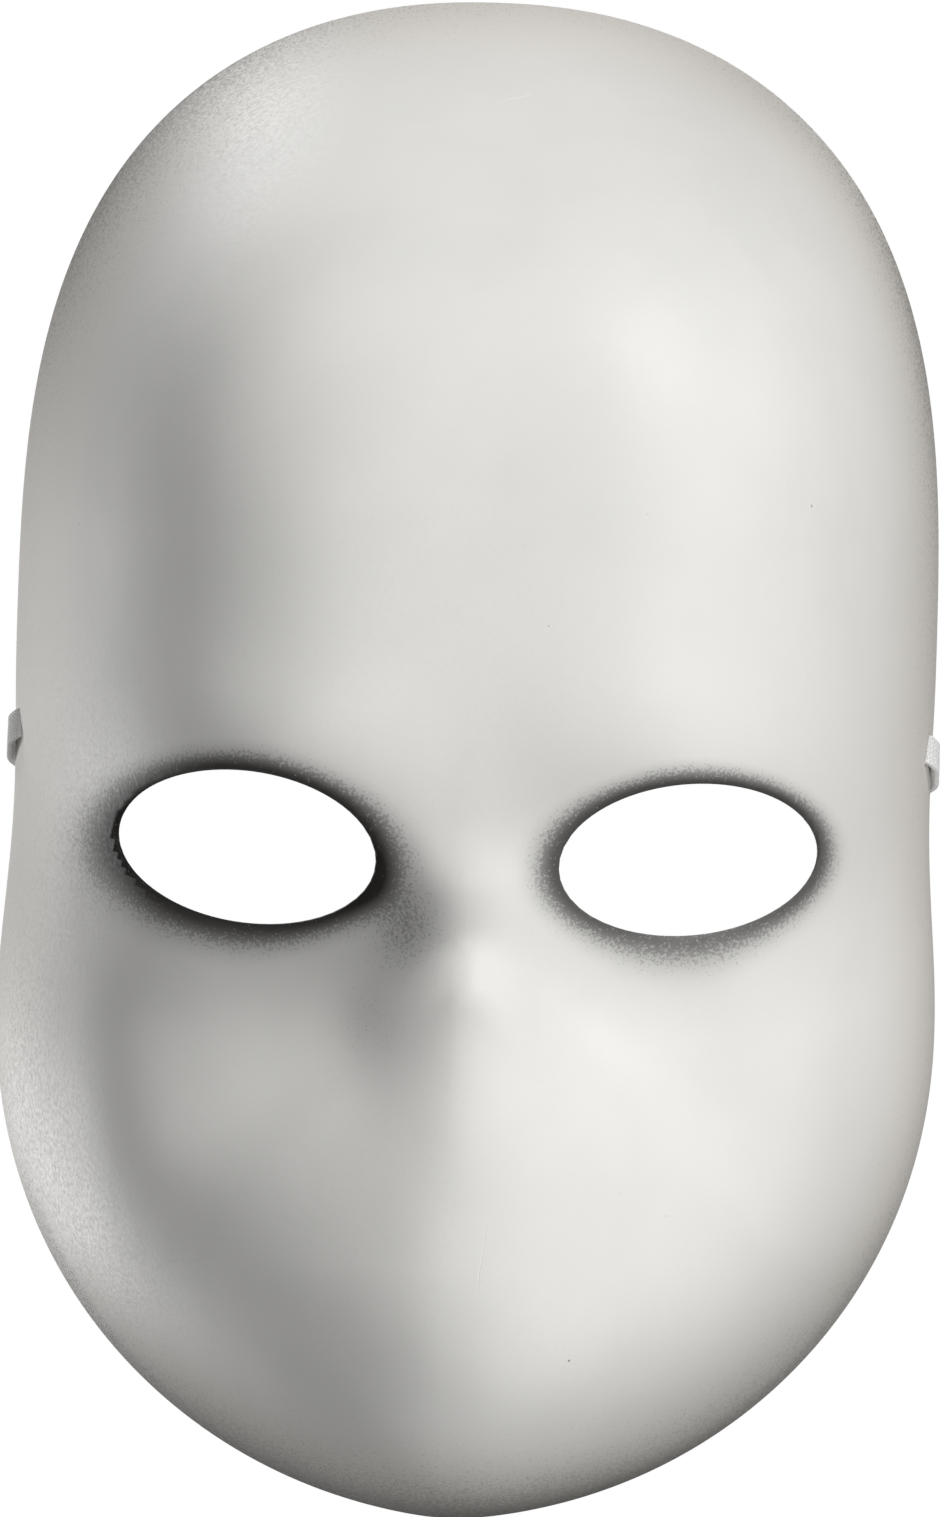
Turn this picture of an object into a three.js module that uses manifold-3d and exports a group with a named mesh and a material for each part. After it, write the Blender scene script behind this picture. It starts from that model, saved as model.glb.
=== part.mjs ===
// Full-face costume mask: a thin formed plastic shell with two eye openings, worn with a flat
// elastic strap.
//
// Frame: millimetres, +Z up towards the forehead, the face looks towards -Y, and the shell's
// trimmed rear edge lies in the plane y = 0, so the wearer's head comes in from +Y.
// The origin is on the mask's midline, half-way between crown and chin.
//
// The strap's two ends are folded through slits in the shell's side walls and stapled. The span
// between them hangs behind the mask and swings about the line through the two folded ends.

import * as THREE from "three";
import { mergeVertices } from "three/addons/utils/BufferGeometryUtils.js";
import Module from "manifold-3d";

const wasm = await Module();
wasm.setup();

// ---- Driving dimensions, millimetres ----

const HALF_HEIGHT = 134.8;
const FOREHEAD_HALF_WIDTH = 82;
const CHEEK_HALF_WIDTH = 83.6;
const WAIST = 1.1; // how far the outline draws in between forehead and cheeks
const CROWN_START = 20; // the outline's top curve begins at this height
const CHEEK_HEIGHT = -46; // the outline's widest point, where the bottom curve begins
const SHEET = 1.2; // thickness of the formed plastic

const BROW_HEIGHT = 25; // the forehead leans back above this height
const BROW_DEPTH = 95; // how far the brow stands in front of the rear edge
const JAW_HEIGHT = -60; // the chin turns under below this height
const JAW_DEPTH = 88;

// Relief pressed into the face: how high or deep it is, where its middle is, and how far it
// spreads from there across and up.
const SOCKET = { deep: 9.8, x: 28.5, across: 18, z: -37, up: 31 };
const BROW = { high: 5.7, z: -2, up: 16, across: 65 };
const SADDLE = { deep: 5.6, across: 23 };
const BRIDGE = { high: 3.2, halfWidth: 9, z: -23, above: 6.6, below: 10 };
const CREST = { top: -36, slope: 1.2, round: 9, reach: 48, step: 6, run: 7, widen: 0.3 };
const CREST_FADE = { across: 85, bottom: -130, up: 42 };
const LIP = { high: 0.9, below: 2, thick: 4.5, across: 38 };
const FOLD = { deep: 2.6, x: 18.5, across: 8.5, z: -47, up: 16 };
const CHEEK = { high: 4.2, x: 62, across: 12.5, z: -62, up: 23 };
const KEEL = 2.8; // how softly the two halves of the lower face meet
const LEVEL = 31; // and those of the forehead

// The eye openings' ovals, cut by hand and so not quite alike; the inner corners sit lower.
const EYE = { z: -16.5, halfLength: 22.9, halfHeight: 13.4, tilt: 7, reach: 90, front: -20 };
const EYE_X = { right: 37.9, left: -38.9 };

const STRAP_WIDTH = 6;
const STRAP_THICKNESS = 1;
const GAP = 0.3; // clearance between touching pieces

const LAYER = STRAP_THICKNESS + GAP; // from one strap layer to the next

const SLIT = { forward: 4, z: 3.3, lean: 30, length: 7, opening: 3.4, ahead: 1.1, inset: 0.76 };
const LEG_END = 22; // how far the folded strap end reaches behind its slit
// The folded end's two layers: where they close up, how far inside the slit's middle the outer
// one then lies, and how both lean in towards the head.
const STACK = { start: 13, inwards: 0.95, slope: 0.12 };
const THROUGH = 8; // length of the cutters for slits and staple holes
const STAPLE = { behind: 14.7, reach: 1.4, wire: 0.5 };

const ACROSS = 36; // cells of the shell's grid across the face
const UPRIGHT = 48; // and from chin to crown

// ---- Small helpers ----

const { abs, sqrt, sin, cos, PI, exp, tanh, hypot } = Math;
const clamp01 = (t) => THREE.MathUtils.clamp(t, 0, 1);
const smooth = (t) => THREE.MathUtils.smoothstep(t, 0, 1);
const lerp = THREE.MathUtils.lerp;
const bell = (value, centre, spread) => exp(-(((value - centre) / spread) ** 2));
const radians = THREE.MathUtils.degToRad;

// A curve that is 1 at t = 0 and falls to 0 at t = 1, round at both ends.
const roundOff = (t, start, end) => (1 - clamp01(t) ** start) ** (1 / end);

function toSolid(geometry) {
  const bare = geometry.clone();
  bare.deleteAttribute("normal");
  bare.deleteAttribute("uv");
  const merged = mergeVertices(bare, 1e-4);
  return new wasm.Manifold(
    new wasm.Mesh({
      numProp: 3,
      vertProperties: merged.attributes.position.array,
      triVerts: new Uint32Array(merged.index.array),
    }),
  );
}

function toGeometry(solid) {
  const mesh = solid.getMesh();
  const geometry = new THREE.BufferGeometry();
  geometry.setAttribute("position", new THREE.BufferAttribute(mesh.vertProperties, 3));
  geometry.setIndex(new THREE.BufferAttribute(mesh.triVerts, 1));
  geometry.computeVertexNormals();
  return geometry;
}

// ---- The mask's form ----

// Half of the outline's width at height z: a rounded crown, nearly straight sides and a chin.
function halfWidth(z) {
  if (z > CROWN_START) {
    const t = (z - CROWN_START) / (HALF_HEIGHT - CROWN_START);
    return FOREHEAD_HALF_WIDTH * roundOff(t, 3, 2.2);
  }
  if (z < CHEEK_HEIGHT) {
    const t = (CHEEK_HEIGHT - z) / (CHEEK_HEIGHT + HALF_HEIGHT);
    return CHEEK_HALF_WIDTH * roundOff(t, 2.1, 1.88);
  }
  const t = (CROWN_START - z) / (CROWN_START - CHEEK_HEIGHT);
  return lerp(FOREHEAD_HALF_WIDTH, CHEEK_HALF_WIDTH, smooth(t)) - WAIST * sin(PI * t) ** 2;
}

// Distance below the upper edge of the lower face, negative above it: a line that falls to both
// sides from the tip of the nose and levels off under the eyes.
function belowCrest(a, z) {
  const reach = CREST.reach * tanh(a / CREST.reach);
  const line = CREST.top - CREST.slope * (hypot(reach, CREST.round) - CREST.round);
  const lean = hypot(1, CREST.slope * (1 - tanh(a / CREST.reach) ** 2));
  return (line - z) / lean;
}

function relief(a, z) {
  const sockets = -SOCKET.deep * bell(a, SOCKET.x, SOCKET.across) * bell(z, SOCKET.z, SOCKET.up);
  const ridge = BROW.high * bell(z, BROW.z, BROW.up);
  const brow = ridge * exp(-((a / BROW.across) ** 4));
  const saddle = -SADDLE.deep * bell(a, 0, SADDLE.across) * bell(z, BROW.z, BROW.up);
  const height = z > BRIDGE.z ? BRIDGE.above : BRIDGE.below;
  const sides = exp(-((a / BRIDGE.halfWidth) ** 3.5));
  const bridge = BRIDGE.high * sides * bell(z, BRIDGE.z, height);
  const below = belowCrest(a, z);
  const fade = bell(a, 0, CREST_FADE.across) * smooth((z - CREST_FADE.bottom) / CREST_FADE.up);
  const step = CREST.step * smooth(below / (CREST.run + CREST.widen * a) + 0.5) * fade;
  const lip = LIP.high * bell(below, LIP.below, LIP.thick) * bell(a, 0, LIP.across);
  const folds = -FOLD.deep * bell(a, FOLD.x, FOLD.across) * bell(z, FOLD.z, FOLD.up);
  const cheeks = CHEEK.high * bell(a, CHEEK.x, CHEEK.across) * bell(z, CHEEK.z, CHEEK.up);
  return sockets + brow + saddle + bridge + step + lip + folds + cheeks;
}

// How far the outer surface stands in front of the rear edge at (x, z).
function depthAt(x, z) {
  const crown = roundOff((z - BROW_HEIGHT) / (HALF_HEIGHT - BROW_HEIGHT), 3.2, 0.92);
  const chin = roundOff((JAW_HEIGHT - z) / (JAW_HEIGHT + HALF_HEIGHT), 6, 2.6);
  const middle = smooth((BROW_HEIGHT - z) / (BROW_HEIGHT - JAW_HEIGHT));
  const centre = lerp(BROW_DEPTH, JAW_DEPTH, middle) * crown * chin;

  // Sections across: a flat forehead with round temples above, two slack panels that meet in
  // a soft upright ridge below.
  const muzzle = smooth((12 - z) / 60);
  const dome = smooth((z - 40) / 70);
  const flatness = 2.4 + 0.5 * dome - 0.8 * muzzle;
  const edge = 1.12 - 0.25 * dome + 0.5 * muzzle;
  const ridge = lerp(KEEL, LEVEL, (1 - dome) * (1 - muzzle));
  const u = clamp01((hypot(x, ridge) - ridge) / (hypot(halfWidth(z), ridge) - ridge));
  return centre * roundOff(u, flatness, edge) + relief(abs(x), z) * (1 - u ** 10);
}

// Distance from the middle to the outline in the direction of an angle.
function rimRadius(angle) {
  let near = 0;
  let far = 2 * HALF_HEIGHT;
  for (let i = 0; i < 40; i += 1) {
    const middle = (near + far) / 2;
    const z = middle * sin(angle);
    const inside = abs(z) < HALF_HEIGHT && middle * abs(cos(angle)) < halfWidth(z);
    if (inside) near = middle;
    else far = middle;
  }
  return near;
}

// The outer surface at (s, t), both from -1 to 1. The square is drawn into the outline as a
// square is drawn into a disc, and its lines crowd towards the steep side walls.
function outerPoint(s, t) {
  const p = s * sqrt(1 - (t * t) / 2);
  const q = t * sqrt(1 - (s * s) / 2);
  const angle = Math.atan2(q, p);
  const out = Math.min(hypot(p, q), 1);
  const radius = rimRadius(angle) * sin((out * PI) / 2);
  const x = radius * cos(angle);
  const z = radius * sin(angle);
  const depth = out > 0.9999 ? 0 : depthAt(x, z);
  return new THREE.Vector3(x, -depth, z);
}

function shellGeometry() {
  const columns = ACROSS + 1;
  const rows = UPRIGHT + 1;
  const outer = [];
  for (let j = 0; j < rows; j += 1)
    for (let i = 0; i < columns; i += 1)
      outer.push(outerPoint((2 * i) / ACROSS - 1, (2 * j) / UPRIGHT - 1));

  const at = (i, j) => j * columns + i;
  const front = [];
  for (let j = 0; j < UPRIGHT; j += 1)
    for (let i = 0; i < ACROSS; i += 1) {
      const corners = [at(i, j), at(i + 1, j), at(i + 1, j + 1), at(i, j + 1)];
      const [a, b, c, d] = corners;
      const level = outer[a].distanceTo(outer[c]) < outer[b].distanceTo(outer[d]);
      if (level) front.push(a, b, c, a, c, d);
      else front.push(a, b, d, b, c, d);
    }

  // Edge of the grid, once round, for the flat rear edge.
  const edge = [];
  for (let i = 0; i < ACROSS; i += 1) edge.push(at(i, 0));
  for (let j = 0; j < UPRIGHT; j += 1) edge.push(at(ACROSS, j));
  for (let i = ACROSS; i > 0; i -= 1) edge.push(at(i, UPRIGHT));
  for (let j = UPRIGHT; j > 0; j -= 1) edge.push(at(0, j));

  const face = new THREE.BufferGeometry().setFromPoints(outer);
  face.setIndex(front);
  face.computeVertexNormals();
  const normal = new THREE.Vector3();
  const inner = outer.map((point, k) => {
    normal.fromBufferAttribute(face.attributes.normal, k);
    return point.clone().addScaledVector(normal, -SHEET);
  });
  edge.forEach((k, n) => {
    const before = outer[edge[(n + edge.length - 1) % edge.length]];
    const after = outer[edge[(n + 1) % edge.length]];
    normal.set(after.z - before.z, 0, before.x - after.x).normalize();
    inner[k].copy(outer[k]).addScaledVector(normal, -SHEET);
  });

  const back = outer.length;
  const triangles = [...front];
  for (let k = 0; k < front.length; k += 3)
    triangles.push(back + front[k], back + front[k + 2], back + front[k + 1]);
  edge.forEach((k, n) => {
    const next = edge[(n + 1) % edge.length];
    triangles.push(next, k, back + k, next, back + k, back + next);
  });
  const shell = new THREE.BufferGeometry().setFromPoints([...outer, ...inner]);
  shell.setIndex(triangles);
  return shell;
}

// ---- Cutters ----

// An eye opening's oval, run through the face from front to back.
function eyeCutter(side) {
  const oval = new THREE.Shape();
  const tilt = side * radians(EYE.tilt);
  oval.absellipse(0, 0, EYE.halfLength, EYE.halfHeight, 0, 2 * PI, false, tilt);
  const cutter = new THREE.ExtrudeGeometry(oval, {
    depth: EYE.reach,
    bevelEnabled: false,
    curveSegments: 28,
  });
  cutter.rotateX(PI / 2);
  cutter.translate(side > 0 ? EYE_X.right : EYE_X.left, EYE.front, EYE.z);
  return cutter;
}

// Places a piece made in the strap's own directions at the slit in one side wall: its X points
// outwards, its Y runs back and down along the strap, its Z along the slit.
function atSlit(geometry, side = 1) {
  const wall = halfWidth(SLIT.z) - SLIT.inset;
  return geometry.rotateX(-radians(SLIT.lean)).translate(side * wall, -SLIT.forward, SLIT.z);
}

function slitCutter(side) {
  const slot = new THREE.BoxGeometry(THROUGH, SLIT.opening, SLIT.length);
  return atSlit(slot.translate(0, -SLIT.ahead, 0), side);
}

// ---- Strap and fittings ----

// The outline of a strip of the given thickness along a flat curve.
function stripOutline(curve, thickness, steps) {
  const left = [];
  const right = [];
  for (let k = 0; k <= steps; k += 1) {
    const point = curve.getPointAt(k / steps);
    const tangent = curve.getTangentAt(k / steps);
    const side = new THREE.Vector2(-tangent.y, tangent.x).multiplyScalar(thickness / 2);
    left.push(point.clone().add(side));
    right.unshift(point.clone().sub(side));
  }
  return new THREE.Shape([...left, ...right]);
}

// A flat outline made into a solid, centred on its own plane.
function plate(shape, width) {
  const solid = new THREE.ExtrudeGeometry(shape, { depth: width, bevelEnabled: false });
  return solid.translate(0, 0, -width / 2);
}

// The folded end of the strap: out along the inside of the wall, through the slit and back
// over the outside, closing behind the rim where the staple holds both legs together.
function foldedEnd() {
  const fold = new THREE.SplineCurve([
    new THREE.Vector2(stackLine(LEG_END), LEG_END),
    new THREE.Vector2(stackLine(STACK.start), STACK.start),
    new THREE.Vector2(-0.5, 10.9),
    new THREE.Vector2(0.2, 9.2),
    new THREE.Vector2(1.2, 7.8),
    new THREE.Vector2(1.65, 6.2),
    new THREE.Vector2(1.6, 3.4),
    new THREE.Vector2(1.4, 0.9),
    new THREE.Vector2(-0.55, -1.6),
    new THREE.Vector2(-2.6, 1),
    new THREE.Vector2(-2.3, 5),
    new THREE.Vector2(-2.1, 8.6),
    new THREE.Vector2(stackLine(STACK.start) - LAYER, STACK.start),
    new THREE.Vector2(stackLine(LEG_END) - LAYER, LEG_END),
  ]);
  const strip = plate(stripOutline(fold, STRAP_THICKNESS, 44), STRAP_WIDTH);
  let solid = toSolid(strip);
  for (const end of [-1, 1]) {
    const hole = STAPLE.wire + 2 * GAP;
    const punch = new THREE.BoxGeometry(THROUGH, hole, hole);
    solid = solid.subtract(toSolid(atStack(punch.translate(0, end * STAPLE.reach, 0))));
  }
  return atSlit(toGeometry(solid));
}

// Middle of the stack's outer layer, across the wall, at a distance behind the slit.
function stackLine(behind) {
  return -STACK.inwards - STACK.slope * (behind - STACK.start);
}

function atStack(geometry) {
  geometry.rotateZ(Math.atan(STACK.slope));
  return geometry.translate(stackLine(STAPLE.behind), STAPLE.behind, 0);
}

// A staple's wire as a flat outline: crown outside, legs through both layers, tips turned in.
function staple() {
  const half = STAPLE.wire / 2;
  const crown = STRAP_THICKNESS / 2 + GAP + STAPLE.wire;
  const tips = -(LAYER + crown);
  const end = STAPLE.reach + half;
  const start = STAPLE.reach - half;
  const wire = new THREE.Shape();
  wire.moveTo(crown, -end);
  wire.lineTo(crown, end);
  wire.lineTo(tips, end);
  wire.lineTo(tips, GAP);
  wire.lineTo(tips + STAPLE.wire, GAP);
  wire.lineTo(tips + STAPLE.wire, start);
  wire.lineTo(crown - STAPLE.wire, start);
  wire.lineTo(crown - STAPLE.wire, -start);
  wire.lineTo(tips + STAPLE.wire, -start);
  wire.lineTo(tips + STAPLE.wire, -GAP);
  wire.lineTo(tips, -GAP);
  wire.lineTo(tips, -end);
  wire.closePath();
  return atSlit(atStack(plate(wire, STAPLE.wire)));
}

// The span's route from the middle of its sag up to the folded end on the right.
const SPAN_ROUTE = [
  [0, 16, -113],
  [12, 16, -111.2],
  [24, 16, -105.4],
  [35, 16, -96.3],
  [45, 16, -84.2],
  [54, 16, -69.5],
  [61.5, 16, -54],
  [67, 16, -40.4],
  [71.2, 16, -27.6],
  [74, 15.95, -17.5],
  [75.25, 15.6, -12.6],
  [75.95, 14.8, -9.2],
  [76.25, 13.6, -7.2],
  [76.5, 12.2, -6.1],
];

function strapSpan() {
  const right = SPAN_ROUTE.map(([x, y, z]) => new THREE.Vector3(x, y, z));
  const left = right.slice(1).map((point) => new THREE.Vector3(-point.x, point.y, point.z));
  const route = new THREE.CatmullRomCurve3([...left.reverse(), ...right]);
  const t = STRAP_THICKNESS / 2;
  const w = STRAP_WIDTH / 2;
  const section = new THREE.Shape();
  section.moveTo(t, -(w - t));
  section.lineTo(t, w - t);
  section.lineTo(t / 2, w);
  section.lineTo(-t / 2, w);
  section.lineTo(-t, w - t);
  section.lineTo(-t, -(w - t));
  section.lineTo(-t / 2, -w);
  section.lineTo(t / 2, -w);
  section.closePath();
  return new THREE.ExtrudeGeometry(section, { steps: 60, extrudePath: route });
}

// ---- Assembly ----

function maskShell() {
  let solid = toSolid(shellGeometry());
  for (const side of [-1, 1]) {
    solid = solid.subtract(toSolid(eyeCutter(side)));
    solid = solid.subtract(toSolid(slitCutter(side)));
  }
  return toGeometry(solid);
}

const plastic = new THREE.MeshStandardMaterial({ color: 0xe4e3e0, roughness: 0.45 });
const elastic = new THREE.MeshStandardMaterial({ color: 0xf2f1ee, roughness: 0.9 });
const steel = new THREE.MeshStandardMaterial({ color: 0xb9bcc0, roughness: 0.35, metalness: 1 });

function part(name, geometry, material) {
  const mesh = new THREE.Mesh(geometry, material);
  mesh.name = name;
  return mesh;
}

const mask = new THREE.Group();
mask.add(part("mask_shell", maskShell(), plastic));
mask.add(part("strap_span", strapSpan(), elastic));
for (const [name, side] of [["right", 1], ["left", -1]]) {
  const fitting = new THREE.Group();
  fitting.scale.x = side;
  fitting.add(part(`strap_end_${name}`, foldedEnd(), elastic));
  fitting.add(part(`staple_${name}`, staple(), steel));
  mask.add(fitting);
}

export default mask;
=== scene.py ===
import math

import bmesh
import bpy
import numpy as np
from mathutils import Matrix, Vector


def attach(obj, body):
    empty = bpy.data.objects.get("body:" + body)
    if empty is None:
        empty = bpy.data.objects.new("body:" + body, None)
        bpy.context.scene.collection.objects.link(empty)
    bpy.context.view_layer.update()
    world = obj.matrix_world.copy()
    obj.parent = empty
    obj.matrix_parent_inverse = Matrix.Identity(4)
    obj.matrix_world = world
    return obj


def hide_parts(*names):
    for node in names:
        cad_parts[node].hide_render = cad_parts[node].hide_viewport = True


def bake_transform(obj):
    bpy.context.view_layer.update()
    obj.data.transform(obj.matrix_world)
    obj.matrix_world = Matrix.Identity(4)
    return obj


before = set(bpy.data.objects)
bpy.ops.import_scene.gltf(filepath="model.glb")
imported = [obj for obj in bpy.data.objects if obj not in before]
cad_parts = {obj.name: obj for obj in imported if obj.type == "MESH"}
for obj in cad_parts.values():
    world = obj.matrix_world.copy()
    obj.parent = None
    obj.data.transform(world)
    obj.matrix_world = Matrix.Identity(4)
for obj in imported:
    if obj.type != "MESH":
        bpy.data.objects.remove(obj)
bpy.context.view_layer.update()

MM = 0.001

# ---- Sizes, millimetres, as in the CAD model ----

HALF_HEIGHT = 134.8
FOREHEAD_HALF_WIDTH = 82.0
CHEEK_HALF_WIDTH = 83.6
WAIST = 1.1
CROWN_START = 20.0
CHEEK_HEIGHT = -46.0
SHEET = 1.2
BROW_HEIGHT = 25.0
BROW_DEPTH = 95.0
JAW_HEIGHT = -60.0
JAW_DEPTH = 88.0

# Relief pressed into the face: how high or deep it is, where its middle is, and how far it
# spreads from there across and up.
SOCKET = {"deep": 9.8, "x": 28.5, "across": 18, "z": -37, "up": 31}
BROW = {"high": 5.7, "z": -2, "up": 16, "across": 65}
SADDLE = {"deep": 5.6, "across": 23}
BRIDGE = {"high": 3.2, "half_width": 9, "z": -23, "above": 6.6, "below": 10}
CREST = {"top": -36, "slope": 1.2, "round": 9, "reach": 48, "step": 6, "run": 7, "widen": 0.3}
CREST_FADE = {"across": 85, "bottom": -130, "up": 42}
LIP = {"high": 0.9, "below": 2, "thick": 4.5, "across": 38}
FOLD = {"deep": 2.6, "x": 18.5, "across": 8.5, "z": -47, "up": 16}
CHEEK = {"high": 4.2, "x": 62, "across": 12.5, "z": -62, "up": 23}
KEEL = 2.8                # how softly the two halves of the lower face meet
LEVEL = 31.0              # and those of the forehead

EYE_X = {1: 37.9, -1: -38.9}
EYE_Z = -16.5
EYE_HALF_LENGTH = 22.9
EYE_HALF_HEIGHT = 13.4
EYE_TILT = math.radians(7)

STRAP_WIDTH = 6.0
STRAP_THICKNESS = 1.0
GAP = 0.3                 # clearance between touching pieces
LAYER = STRAP_THICKNESS + GAP
SLIT_FORWARD = 4.0        # the slits' place: in front of the rear edge, and above the middle
SLIT_Z = 3.3
SLIT_LEAN = math.radians(30)
SLIT_INSET = 0.76
SLIT_CUT = (9.0, 1.5, 6.8)  # the bar that cuts a slit: through the wall, across and along
SLIT_CUT_AHEAD = 1.3        # how far it lies in front of the slit's middle
SLIT_CUT_CORNER = 0.6
LEG_END = 22.0            # how far the folded strap end reaches behind its slit
STACK_START = 13.0        # where its two layers close up,
STACK_INWARDS = 0.95      # how far inside the slit's middle the outer one then lies,
STACK_SLOPE = 0.12        # and how both lean in towards the head
STAPLE_BEHIND = 14.7
STAPLE_REACH = 1.4
WIRE = 0.5

# The strap's free span, from the middle of its sag up to the folded end on the right.
SPAN_ROUTE = [
    (0, 16, -113),
    (12, 16, -111.2),
    (24, 16, -105.4),
    (35, 16, -96.3),
    (45, 16, -84.2),
    (54, 16, -69.5),
    (61.5, 16, -54),
    (67, 16, -40.4),
    (71.2, 16, -27.6),
    (74, 15.95, -17.5),
    (75.25, 15.6, -12.6),
    (75.95, 14.8, -9.2),
    (76.25, 13.6, -7.2),
    (76.5, 12.2, -6.1),
]

CORES = 8                 # rubber cores under the elastic's knit

# ---- Picture, metres ----

CAMERA_X = -0.0004
CAMERA_DISTANCE = 3.0
CAMERA_ROLL = math.radians(1.7)
FRAME_HEIGHT = 0.2704     # what the picture's height takes in at the mask
LIGHTS_AIM = Vector((0, -0.04, 0))
FILL = 0.14               # strength of the even light from all round
FLOOR_Z = -0.17
FLOOR_RADIUS = 0.62

# ---- Colours ----

COOL_WHITE = (0.80, 0.793, 0.767, 1)
CLEAR_WHITE = (0.83, 0.82, 0.793, 1)
WARM_WHITE = (0.80, 0.757, 0.70, 1)
GREY_GRAIN = (0.66, 0.66, 0.64, 1)
SPRAY_BLACK = (0.022, 0.020, 0.018, 1)
CHALK = (0.62, 0.59, 0.55, 1)
DUST = (0.10, 0.09, 0.08, 1)
BARE_WHITE = (0.93, 0.93, 0.92, 1)
RAW_PLASTIC = ((0.74, 0.735, 0.71, 1), (0.82, 0.815, 0.80, 1))
# The knit's painted shade and light: darker between the stitches and lighter on their tops, and
# darker again in the grooves.
STITCH_SHADE_TO_LIGHT = ((0.72, 0.715, 0.70, 1), (0.90, 0.897, 0.885, 1))
STITCH_VALLEY_SHADE = (0.62, 0.61, 0.595, 1)
HANDLED = (0.78, 0.765, 0.735, 1)
FUZZ_WHITE = (0.94, 0.94, 0.93, 1)
STEEL = ((0.50, 0.51, 0.52, 1), (0.72, 0.72, 0.73, 1))
FLOOR_GREY = ((0.86, 0.86, 0.86, 1), (0.89, 0.89, 0.89, 1))


# ---- The mask's form, the same formulas as the CAD shell ----

def clamp01(t):
    return np.clip(t, 0.0, 1.0)


def smooth(t):
    t = clamp01(t)
    return t * t * (3 - 2 * t)


def bell(value, centre, spread):
    return np.exp(-(((value - centre) / spread) ** 2))


def round_off(t, start, end):
    """1 at t = 0 and 0 at t = 1, round at both ends."""
    return (1 - clamp01(t) ** start) ** (1 / end)


def half_width(z):
    """Half of the outline's width at height z."""
    z = np.asarray(z, float)
    top = FOREHEAD_HALF_WIDTH * round_off((z - CROWN_START) / (HALF_HEIGHT - CROWN_START), 3, 2.2)
    low = CHEEK_HALF_WIDTH * round_off((CHEEK_HEIGHT - z) / (CHEEK_HEIGHT + HALF_HEIGHT), 2.1, 1.88)
    t = clamp01((CROWN_START - z) / (CROWN_START - CHEEK_HEIGHT))
    side = FOREHEAD_HALF_WIDTH + (CHEEK_HALF_WIDTH - FOREHEAD_HALF_WIDTH) * smooth(t)
    side -= WAIST * np.sin(math.pi * t) ** 2
    return np.where(z > CROWN_START, top, np.where(z < CHEEK_HEIGHT, low, side))


def mound(form, a, z):
    """1 in the middle of a piece of relief, fading across and up."""
    return bell(a, form["x"], form["across"]) * bell(z, form["z"], form["up"])


def below_crest(a, z):
    """Distance below the upper edge of the lower face, a line that falls from the nose's tip."""
    reach = CREST["reach"] * np.tanh(a / CREST["reach"])
    line = CREST["top"] - CREST["slope"] * (np.hypot(reach, CREST["round"]) - CREST["round"])
    lean = np.hypot(1, CREST["slope"] * (1 - np.tanh(a / CREST["reach"]) ** 2))
    return (line - z) / lean


def relief(a, z):
    brow_line = bell(z, BROW["z"], BROW["up"])
    brow = BROW["high"] * brow_line * np.exp(-((a / BROW["across"]) ** 4))
    saddle = -SADDLE["deep"] * bell(a, 0, SADDLE["across"]) * brow_line
    height = np.where(z > BRIDGE["z"], BRIDGE["above"], BRIDGE["below"])
    sides = np.exp(-((a / BRIDGE["half_width"]) ** 3.5))
    bridge = BRIDGE["high"] * sides * bell(z, BRIDGE["z"], height)
    below = below_crest(a, z)
    fade = bell(a, 0, CREST_FADE["across"]) * smooth((z - CREST_FADE["bottom"]) / CREST_FADE["up"])
    step = CREST["step"] * smooth(below / (CREST["run"] + CREST["widen"] * a) + 0.5) * fade
    lip = LIP["high"] * bell(below, LIP["below"], LIP["thick"]) * bell(a, 0, LIP["across"])
    hollows = -SOCKET["deep"] * mound(SOCKET, a, z) - FOLD["deep"] * mound(FOLD, a, z)
    return hollows + CHEEK["high"] * mound(CHEEK, a, z) + brow + saddle + bridge + step + lip


def depth_at(x, z):
    """How far the outer surface stands in front of the rear edge."""
    crown = round_off((z - BROW_HEIGHT) / (HALF_HEIGHT - BROW_HEIGHT), 3.2, 0.92)
    chin = round_off((JAW_HEIGHT - z) / (JAW_HEIGHT + HALF_HEIGHT), 6.0, 2.6)
    middle = smooth((BROW_HEIGHT - z) / (BROW_HEIGHT - JAW_HEIGHT))
    centre = (BROW_DEPTH + (JAW_DEPTH - BROW_DEPTH) * middle) * crown * chin

    muzzle = smooth((12 - z) / 60)
    dome = smooth((z - 40) / 70)
    flatness = 2.4 + 0.5 * dome - 0.8 * muzzle
    edge = 1.12 - 0.25 * dome + 0.5 * muzzle
    ridge = KEEL + (LEVEL - KEEL) * (1 - dome) * (1 - muzzle)
    width = np.maximum(half_width(z), 1e-3)
    u = clamp01((np.hypot(x, ridge) - ridge) / (np.hypot(width, ridge) - ridge))
    return centre * round_off(u, flatness, edge) + relief(np.abs(x), z) * (1 - u ** 10)


def rim_radius(angle):
    """Distance from the middle to the outline in that direction."""
    near = np.zeros_like(angle)
    far = np.full_like(angle, 2 * HALF_HEIGHT)
    for _ in range(44):
        mid = (near + far) / 2
        z = mid * np.sin(angle)
        zc = np.clip(z, -HALF_HEIGHT, HALF_HEIGHT)
        inside = (np.abs(z) < HALF_HEIGHT) & (mid * np.abs(np.cos(angle)) < half_width(zc))
        near = np.where(inside, mid, near)
        far = np.where(inside, far, mid)
    return near


def eye_value(x, z, side):
    """Below 0 inside the eye opening, and about the distance from its edge in mm outside."""
    c, s = math.cos(EYE_TILT), side * math.sin(EYE_TILT)
    dx, dz = x - EYE_X[side], z - EYE_Z
    u = (dx * c + dz * s) / EYE_HALF_LENGTH
    v = (-dx * s + dz * c) / EYE_HALF_HEIGHT
    r = np.hypot(u, v)
    slope = np.hypot(u / EYE_HALF_LENGTH, v / EYE_HALF_HEIGHT) / np.maximum(r, 1e-6)
    return (r - 1) / np.maximum(slope, 1e-6)


def eye_distance(x, z):
    return np.minimum(eye_value(x, z, 1), eye_value(x, z, -1))


# ---- Mesh building ----

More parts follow.
